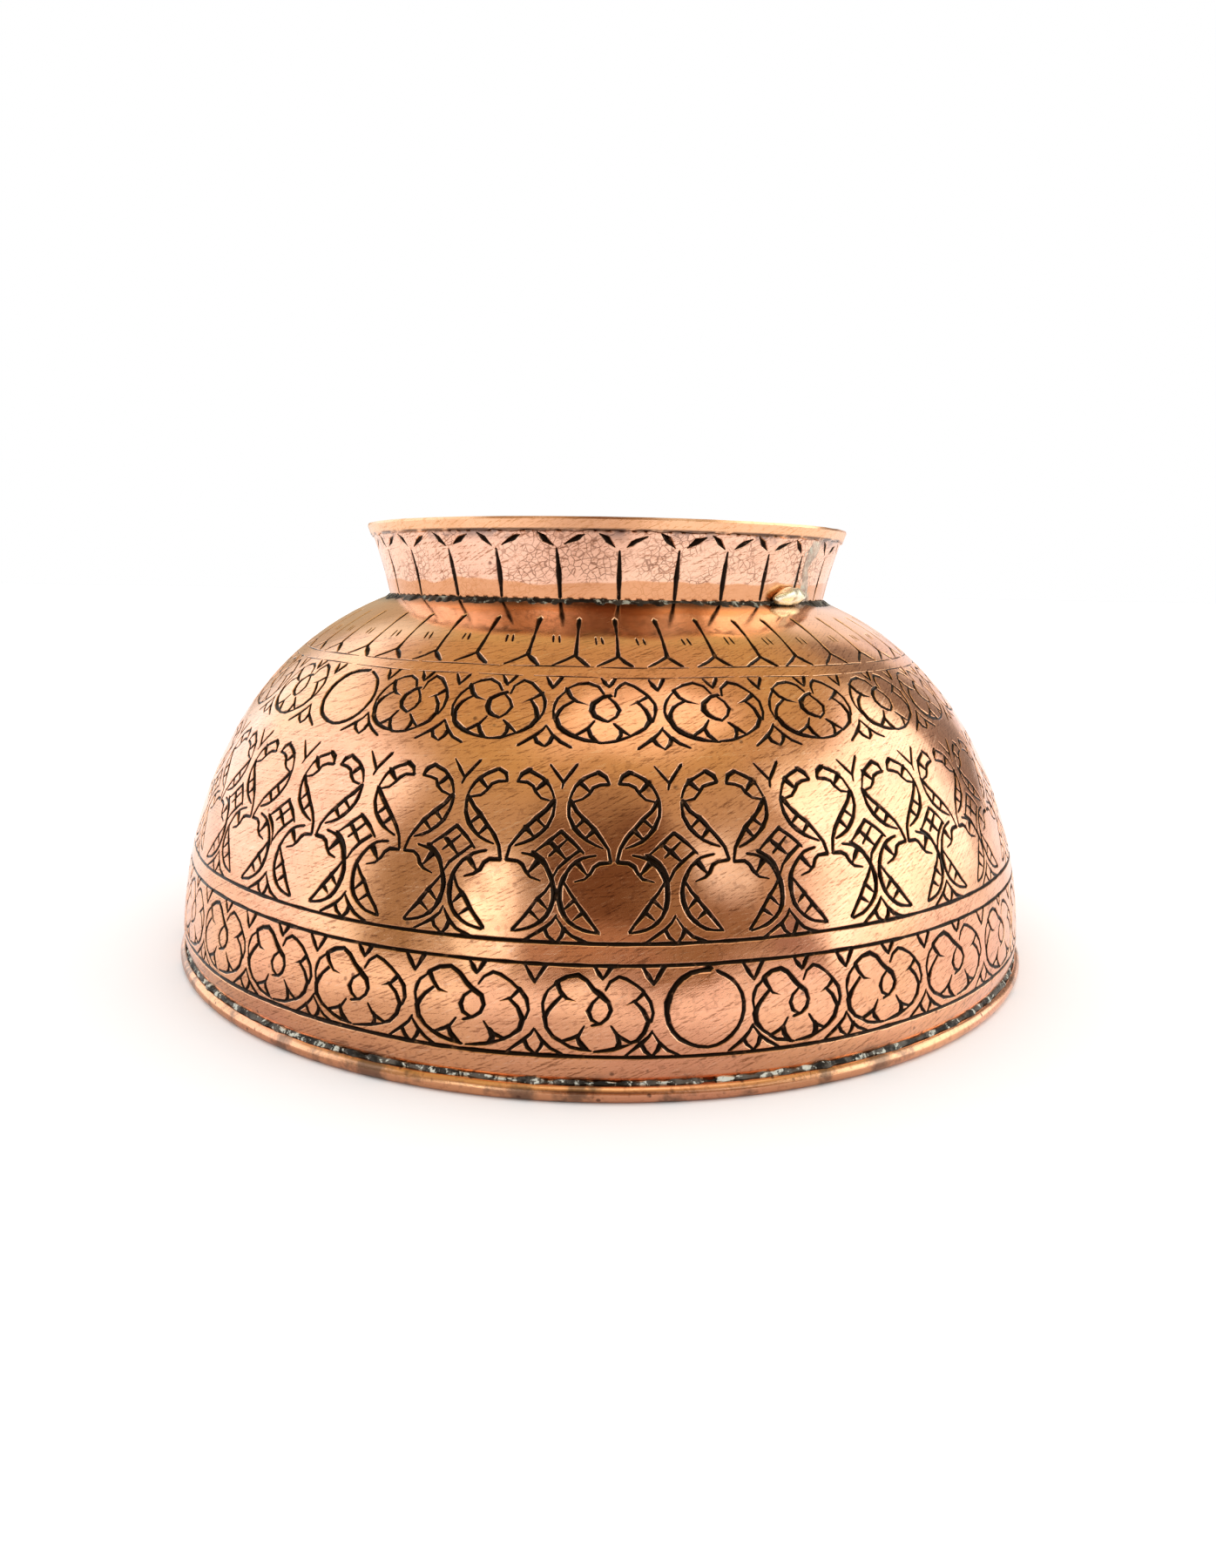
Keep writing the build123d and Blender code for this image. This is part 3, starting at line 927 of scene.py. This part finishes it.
# ---------------------------------------------------------------- materials
class Nodes:
    """Short hand for building a node tree: sockets and plain values both go in as inputs."""

    def __init__(self, tree):
        self.tree = tree
        tree.nodes.clear()

    def add(self, kind, output=0, *, props=None, **inputs):
        node = self.tree.nodes.new(kind)
        for key, value in (props or {}).items():
            setattr(node, key, value)
        for key, value in inputs.items():
            name = key.replace("_", " ")
            self.feed(node.inputs[int(key[1:]) if key[1:].isdigit() else name], value)
        return node.outputs[output]

    def feed(self, socket, value):
        if hasattr(value, "is_output"):
            self.tree.links.new(value, socket)
        else:
            socket.default_value = value

    def math(self, operation, a, b=0.0, c=0.0):
        return self.add("ShaderNodeMath", props={"operation": operation}, i0=a, i1=b, i2=c)

    def times(self, a, b):
        return self.math("MULTIPLY", a, b)

    def plus(self, a, b):
        return self.math("ADD", a, b)

    def ramp(self, value, low, high, to_low=0.0, to_high=1.0):
        """Goes smoothly from to_low to to_high as value passes from low to high."""
        return self.add("ShaderNodeMapRange", props={"interpolation_type": "SMOOTHSTEP"},
                        i0=value, i1=low, i2=high, i3=to_low, i4=to_high)

    def mix(self, share, a, b):
        node = self.tree.nodes.new("ShaderNodeMix")
        node.data_type, node.clamp_factor = "RGBA", True
        self.feed(node.inputs[0], share)
        for socket, colour in ((node.inputs[6], a), (node.inputs[7], b)):
            self.feed(socket, (*colour, 1) if isinstance(colour, tuple) else colour)
        return node.outputs[2]

    def cover(self, under, share, strength, over):
        """Lays one colour over another where share says, at most at the given strength."""
        return self.mix(self.times(share, strength), under, over)

    def noise(self, place, scale, detail=3.0, rough=0.55, stretch=None, turn=0.0):
        if turn:
            place = self.add("ShaderNodeMapping", Vector=place, Rotation=(0, 0, turn))
        if stretch:
            place = self.add("ShaderNodeMapping", Vector=place, Scale=stretch)
        return self.add("ShaderNodeTexNoise", Vector=place, Scale=scale, Detail=detail, Roughness=rough)

    def shaken(self, place, scale, size):
        """Coordinates pushed about by a noise, to break up straight edges."""
        push = self.add("ShaderNodeTexNoise", 1, Vector=place, Scale=scale, Detail=2.0)
        push = self.add("ShaderNodeVectorMath", props={"operation": "SCALE"}, i0=push, Scale=size)
        return self.add("ShaderNodeVectorMath", props={"operation": "ADD"}, i0=place, i1=push)

    def height(self, place):
        return self.add("ShaderNodeSeparateXYZ", 2, Vector=place)


def new_material(name):
    made = bpy.data.materials.new(name)
    made.use_nodes = True
    return made, Nodes(made.node_tree)


def finish_material(n, colour, metallic, roughness, heights):
    """Principled shader with bumps; heights holds (height, distance in metres) pairs."""
    normal = None
    for height, distance in heights:
        extra = {"Normal": normal} if normal is not None else {}
        normal = n.add("ShaderNodeBump", Strength=1.0, Distance=distance, Height=height, **extra)
    shader = n.add("ShaderNodeBsdfPrincipled", Base_Color=colour, Metallic=metallic,
                   Roughness=roughness, Normal=normal)
    n.tree.links.new(shader, n.tree.nodes.new("ShaderNodeOutputMaterial").inputs[0])


COPPER = (0.89, 0.475, 0.255)
COPPER_DARK = (0.48, 0.21, 0.10)
COPPER_PINK = (0.89, 0.44, 0.285)
PATINA = (0.022, 0.014, 0.010)


FOLD_LINE = (HEIGHT - FOLD_HEIGHT) * MM         # height of the fold's lower edge
TIDE_LINE = 0.0838                              # where the darker lower part of the foot ends


def foot_marks_and_painted_light(n, place, colour):
    """The foot's cracked skin, the tide low on it, grey patches under its fold, a painted reflection that
    tints the fold darker golden, and painted shade in the crevice under the fold.
    """
    level = n.height(place)
    crack = n.add("ShaderNodeTexVoronoi", props={"feature": "DISTANCE_TO_EDGE"},
                  Vector=n.shaken(place, 500, 0.0009), Scale=760.0)
    cracked = n.ramp(n.noise(place, 110, 3), 0.44, 0.60)
    fold = n.ramp(level, FOLD_LINE - 0.0005, FOLD_LINE + 0.0003)
    lines = n.times(n.ramp(crack, 0.09, 0.02), cracked)
    lines = n.times(lines, n.math("SUBTRACT", 1.0, fold))
    # painted reflection: the fold is tinted a darker, more golden copper, standing in for what it reflects
    colour = n.cover(colour, fold, 0.5, (0.86, 0.44, 0.17))
    colour = n.cover(colour, lines, 0.75, (0.22, 0.10, 0.06))
    wavy = n.plus(level, n.times(n.noise(place, 75, 2), 0.0036))
    tide = n.ramp(wavy, TIDE_LINE + 0.0002, TIDE_LINE - 0.0002)
    colour = n.cover(colour, tide, 0.8, (0.66, 0.30, 0.13))
    under = n.times(n.ramp(level, FOLD_LINE - 0.0026, FOLD_LINE + 0.0002),
                    n.ramp(level, FOLD_LINE + 0.0004, FOLD_LINE))
    grey = n.times(under, n.ramp(n.noise(place, 150, 4, 0.6), 0.50, 0.62))
    colour = n.cover(colour, grey, 0.8, (0.16, 0.13, 0.13))
    # painted shade: a dark band in the crevice just under the fold's edge, made patchy by a noise
    painted_crevice_shade = n.times(n.ramp(level, FOLD_LINE - 0.0006, FOLD_LINE),
                      n.ramp(level, FOLD_LINE + 0.0005, FOLD_LINE + 0.0001))
    painted_crevice_shade = n.times(painted_crevice_shade, n.ramp(n.noise(place, 200, 3), 0.34, 0.5))
    return n.cover(colour, painted_crevice_shade, 0.85, (0.07, 0.04, 0.03))


SHOULDER_TOP = 0.070          # height above which a mark by radius is on the shoulder


def bowl_marks_and_painted_light(n, place, colour):
    """Soot and spots above the rim; a painted reflection that lightens the shoulder round the foot, then a
    near-black zone close round the foot.
    """
    level = n.height(place)
    soot = n.times(n.ramp(level, 0.0058, 0.0032), n.ramp(n.noise(place, 120, 4, 0.65), 0.46, 0.62))
    colour = n.cover(colour, soot, 0.75, (0.15, 0.11, 0.09))
    grains = n.add("ShaderNodeTexVoronoi", Vector=place, Scale=620.0)
    spots = n.times(n.ramp(grains, 0.3, 0.16), n.ramp(level, 0.008, 0.0055))
    spots = n.times(spots, n.ramp(n.noise(place, 260, 2), 0.54, 0.62))
    colour = n.cover(colour, spots, 0.8, (0.14, 0.07, 0.05))
    flat = n.add("ShaderNodeVectorMath", props={"operation": "MULTIPLY"}, i0=place, i1=(1, 1, 0))
    radius = n.add("ShaderNodeVectorMath", 1, props={"operation": "LENGTH"}, i0=flat)
    on_top = n.ramp(level, SHOULDER_TOP, SHOULDER_TOP + 0.002)
    # painted reflection: the shoulder round the foot is lightened towards pale gold, standing in for the
    # bright reflections it shows
    painted_reflection = n.times(n.ramp(radius, 0.069, 0.062), on_top)
    colour = n.cover(colour, painted_reflection, 0.5, (1.0, 0.66, 0.38))
    # near black on the shoulder close round the foot's root
    near_black_ring = n.times(n.ramp(radius, 0.0546, 0.0518), on_top)
    return n.cover(colour, near_black_ring, 0.8, (0.04, 0.032, 0.028))


def copper_material(name, roughness, tarnish, marks_and_painted_light=None, light=COPPER, pink=COPPER_PINK):
    """Worn copper: soft tarnish, fine scratches, pits, and black dirt in the cuts."""
    made, n = new_material(name)
    flat = n.add("ShaderNodeUVMap", props={"uv_map": "UVMap"})
    place = n.add("ShaderNodeTexCoord", 3)
    broad = n.noise(place, 22, 4)
    cloudy = n.noise(place, 95, 5, 0.6)
    fine = n.noise(place, 900, 4, 0.6)
    colour = n.mix(n.ramp(broad, 0.35, 0.7), light, pink)
    colour = n.cover(colour, n.ramp(cloudy, 0.50, 0.78), tarnish, COPPER_DARK)
    speck = n.add("ShaderNodeTexVoronoi", Vector=place, Scale=420.0, Randomness=1.0)
    chance = n.ramp(n.noise(place, 160, 2), 0.56, 0.68)
    pits = n.times(n.ramp(speck, 0.24, 0.10), chance)
    colour = n.cover(colour, n.ramp(fine, 0.54, 0.68), 0.5, (0.46, 0.21, 0.12))
    colour = n.cover(colour, pits, 0.75, (0.12, 0.055, 0.035))
    level = n.noise(flat, 60, 4, 0.65, (0.16, 5.5, 1.0), -0.08)
    slanted = n.noise(flat, 60, 4, 0.65, (0.18, 5.0, 1.0), -0.48)
    steep = n.noise(flat, 50, 3, 0.65, (0.35, 5.0, 1.0), -0.95)
    scratches = n.plus(n.times(slanted, 1.2), n.times(steep, 0.3))
    scratches = n.plus(scratches, n.times(level, 0.9))
    lines = n.ramp(scratches, 1.30, 1.46)
    colour = n.cover(colour, lines, 0.4, (1.0, 0.74, 0.56))
    colour = n.cover(colour, n.ramp(scratches, 1.14, 1.00), 0.9, (0.36, 0.16, 0.085))
    if marks_and_painted_light:
        colour = marks_and_painted_light(n, place, colour)
    cut = n.add("ShaderNodeAttribute", 2, props={"attribute_name": "cut"})
    dirt = n.times(n.ramp(cut, 0.56, 0.68), n.ramp(n.noise(place, 700, 3), 0.22, 0.40, 0.8, 1.0))
    colour = n.mix(dirt, colour, PATINA)
    shine = n.plus(n.ramp(cloudy, 0.3, 0.75, roughness - 0.05, roughness + 0.10),
                   n.times(n.plus(lines, pits), 0.08))
    shine = n.plus(shine, n.times(cut, 0.25))
    hammer = n.noise(place, 70, 2, 0.4)
    finish_material(n, colour, 1.0, shine, [(hammer, 0.0002), (scratches, 4.5e-6), (fine, 2.2e-6)])
    return made


def solder_material(name, light, dark, green, metal=0.85, roughness=0.42, crusted=0.56):
    """Old solder: grey metal with dark dirt and chalky green-white crusts."""
    made, n = new_material(name)
    place = n.add("ShaderNodeTexCoord", 3)
    patches = n.noise(place, 260, 5, 0.65)
    grains = n.noise(place, 1100, 4, 0.7)
    colour = n.mix(n.ramp(patches, 0.42, 0.60), dark, light)
    crust = n.ramp(n.noise(n.shaken(place, 300, 0.002), 430, 5, 0.7), crusted, crusted + 0.05)
    colour = n.cover(colour, crust, 0.8, green)
    metallic = n.math("SUBTRACT", metal, n.times(crust, metal * 0.8))
    shine = n.plus(n.ramp(grains, 0.3, 0.7, roughness - 0.08, roughness + 0.15),
                   n.times(crust, 0.25))
    finish_material(n, colour, metallic, shine, [(patches, 0.0003), (grains, 0.00008)])
    return made


def pour_material(name):
    """Bright solder that was poured and not cleaned: pale yellow silver."""
    made, n = new_material(name)
    place = n.add("ShaderNodeTexCoord", 3)
    patches = n.noise(place, 300, 4, 0.6)
    grains = n.noise(place, 1400, 3, 0.7)
    colour = n.mix(n.ramp(patches, 0.35, 0.7), (0.96, 0.91, 0.74), (0.84, 0.76, 0.54))
    colour = n.mix(n.ramp(grains, 0.62, 0.74), colour, (0.25, 0.20, 0.13))
    finish_material(n, colour, 0.92, n.ramp(grains, 0.3, 0.7, 0.20, 0.36),
                    [(patches, 0.0002), (grains, 0.00005)])
    return made


copper = copper_material("engraved copper", 0.13, 0.35, bowl_marks_and_painted_light)
foot_copper = copper_material("foot copper", 0.22, 0.3, foot_marks_and_painted_light, (0.95, 0.60, 0.43), (0.94, 0.57, 0.42))
grey_solder = solder_material("grey solder", (0.66, 0.54, 0.44), (0.42, 0.32, 0.26), (0.60, 0.60, 0.50))
dark_solder = solder_material("dark solder", (0.07, 0.065, 0.055), (0.012, 0.011, 0.010),
                              (0.42, 0.43, 0.34), 0.7, 0.5)
crust_solder = solder_material("rim solder", (0.13, 0.115, 0.10), (0.018, 0.016, 0.014),
                               (0.72, 0.74, 0.64), 0.6, 0.55, 0.525)
poured = pour_material("poured solder")
wire_copper = copper_material("wire copper", 0.4, 0.6)

# ---------------------------------------------------------------- the pieces
bowl = make_bowl(copper)
foot = make_foot(foot_copper)
joint = ring_of_solder(
    "foot_joint_solder", dark_solder,
    [(50.75, 78.75, 0.5), (51.15, 78.45, 0.9), (51.5, 78.15, 1.0), (51.85, 77.9, 1.0), (52.3, 77.7, 0.6),
     (52.6, 77.2, 0.4), (50.3, 77.0, 0.0)], 720, 61, 0.36)
rim = ring_of_solder(
    "rim_joint_solder", crust_solder,
    [(96.85, 3.9, 0.3), (97.05, 3.55, 0.9), (97.25, 3.2, 1.0), (97.5, 2.9, 0.7), (97.2, 2.2, 0.0),
     (96.7, 2.3, 0.0)], 1080, 71, 0.42)
smear = make_smear(grey_solder)
lump = make_lump(poured)

for piece, node, slot in (
    (bowl, "bowl_shell", "copper_shell"),
    (foot, "foot_ring", "copper_foot"),
    (joint, "foot_solder", "tin_solder"),
    (rim, "rim_solder", "tin_solder"),
    (smear, "foot_seam_solder", "tin_solder"),
    (lump, "solder_lump", "tin_solder"),
):
    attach(piece, "root")
    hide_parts(node)

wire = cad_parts["rim_wire"]
wire.data.materials.clear()
wire.data.materials.append(wire_copper)

# ---------------------------------------------------------------- light, floor and camera
# The studio: soft panels and dark flats round the bowl, each given by its bearing and its
# height in degrees, the softness of its edges, and its colour.
PANELS = (
    ((-146, -64), (-12, 42), (8, 9), (1.50, 1.56, 1.58)),
    ((-60, -44), (-6, 28), (4, 6), (0.40, 0.30, 0.19)),
    ((-41, -19), (2, 30), (4, 5), (0.62, 0.55, 0.45)),
    ((-33, -22), (3, 26), (2.5, 4), (2.3, 2.4, 2.4)),
    ((-18, 18), (-2, 44), (5, 8), (0.18, 0.095, 0.05)),
    ((-20, 20), (4, 14), (5, 4), (0.52, 0.33, 0.22)),
    ((14, 41), (-2, 32), (5, 8), (0.34, 0.23, 0.13)),
    ((26, 42), (20, 33), (4, 4), (1.2, 1.25, 1.2)),
    ((42, 56), (0, 13), (4, 4), (0.42, 0.30, 0.25)),
    ((58, 119), (-1, 40), (5, 6), (2.1, 2.2, 2.1)),
    ((-30, 80), (62, 84), (20, 8), (1.5, 1.35, 1.0)),
    ((121, 144), (-8, 42), (4, 6), (0.34, 0.28, 0.24)),
    ((146, 166), (-6, 40), (6, 6), (1.1, 0.95, 0.92)),
)
CEILING = (0.66, 0.51, 0.25)
WALLS = (0.58, 0.46, 0.31)
CEILING_EDGE = (36, 56)       # degrees up where the walls turn into the ceiling
BACKDROP = (1.0, 1.0, 1.0)    # what the camera itself sees
FILL = (1.33, 1.30, 1.30)     # light on dull surfaces only
FLOOR_REACH = 6.0
SHADE_PLACE, SHADE_REACH = (-0.03, -0.115, 0), (0.12, 0.06)     # darker floor, as copper mirrors it


def build_world():
    world = bpy.data.worlds.new("studio")
    bpy.context.scene.world = world
    world.use_nodes = True
    n = Nodes(world.node_tree)
    way = n.add("ShaderNodeTexCoord", 0)
    split = n.tree.nodes.new("ShaderNodeSeparateXYZ")
    n.tree.links.new(way, split.inputs[0])
    x, y, z = split.outputs
    bearing = n.math("DEGREES", n.math("ARCTAN2", x, n.times(y, -1.0)))
    height = n.math("DEGREES", n.math("ARCSINE", z))
    colour = n.mix(n.ramp(height, *CEILING_EDGE), WALLS, CEILING)
    for (left, right), (low, high), (soft_side, soft_end), tint in PANELS:
        share = n.times(n.ramp(bearing, left - soft_side, left + soft_side),
                       n.ramp(bearing, right + soft_side, right - soft_side))
        share = n.times(share, n.ramp(height, low - soft_end, low + soft_end))
        share = n.times(share, n.ramp(height, high + soft_end, high - soft_end))
        colour = n.mix(share, colour, tint)
    seen = n.add("ShaderNodeBackground", Color=colour)
    plain = n.add("ShaderNodeBackground", Color=(*BACKDROP, 1))
    fill = n.add("ShaderNodeBackground", Color=(*FILL, 1))
    path = n.tree.nodes.new("ShaderNodeLightPath")
    diffuse = n.add("ShaderNodeMixShader", i0=path.outputs["Is Diffuse Ray"], i1=seen, i2=fill)
    every = n.add("ShaderNodeMixShader", i0=path.outputs["Is Camera Ray"], i1=diffuse, i2=plain)
    n.tree.links.new(every, n.tree.nodes.new("ShaderNodeOutputWorld").inputs[0])


def build_floor():
    data = bpy.data.meshes.new("floor")
    corners = [(-FLOOR_REACH, -FLOOR_REACH, 0), (FLOOR_REACH, -FLOOR_REACH, 0),
               (FLOOR_REACH, FLOOR_REACH, 0), (-FLOOR_REACH, FLOOR_REACH, 0)]
    data.from_pydata(corners, [], [(0, 1, 2, 3)])
    made, n = new_material("floor")
    place = n.add("ShaderNodeTexCoord", 3)
    colour = n.mix(n.noise(place, 3, 2), (0.93, 0.925, 0.92), (0.95, 0.95, 0.95))
    mirrored = n.tree.nodes.new("ShaderNodeLightPath").outputs["Is Glossy Ray"]
    spot = n.add("ShaderNodeVectorMath", 1, props={"operation": "DISTANCE"}, i0=place,
                 i1=SHADE_PLACE)
    seen = n.mix(n.ramp(spot, *SHADE_REACH), (0.96, 0.92, 0.91), (0.58, 0.50, 0.46))
    colour = n.mix(mirrored, colour, seen)
    finish_material(n, colour, 0.0, 0.9, [(n.noise(place, 40, 2), 0.00002)])
    new_piece("floor", data, made)


CAMERA_PLACE = (0, -0.250, 0.08238)
CAMERA_TURNS = (11.187, -0.261, 0.969)          # degrees down, to the left and rolled over
LENS = 23.63


def build_camera():
    data = bpy.data.cameras.new("camera")
    data.sensor_width, data.lens, data.clip_start = 36.0, LENS, 0.01
    camera = bpy.data.objects.new("camera", data)
    down, left, roll = (math.radians(angle) for angle in CAMERA_TURNS)
    turn = Matrix.Rotation(left, 4, "Z") @ Matrix.Rotation(math.pi / 2 - down, 4, "X")
    camera.matrix_world = Matrix.Translation(CAMERA_PLACE) @ turn @ Matrix.Rotation(roll, 4, "Z")
    bpy.context.scene.collection.objects.link(camera)
    bpy.context.scene.camera = camera


build_world()
build_floor()
build_camera()
bpy.context.scene.view_settings.view_transform = "Standard"
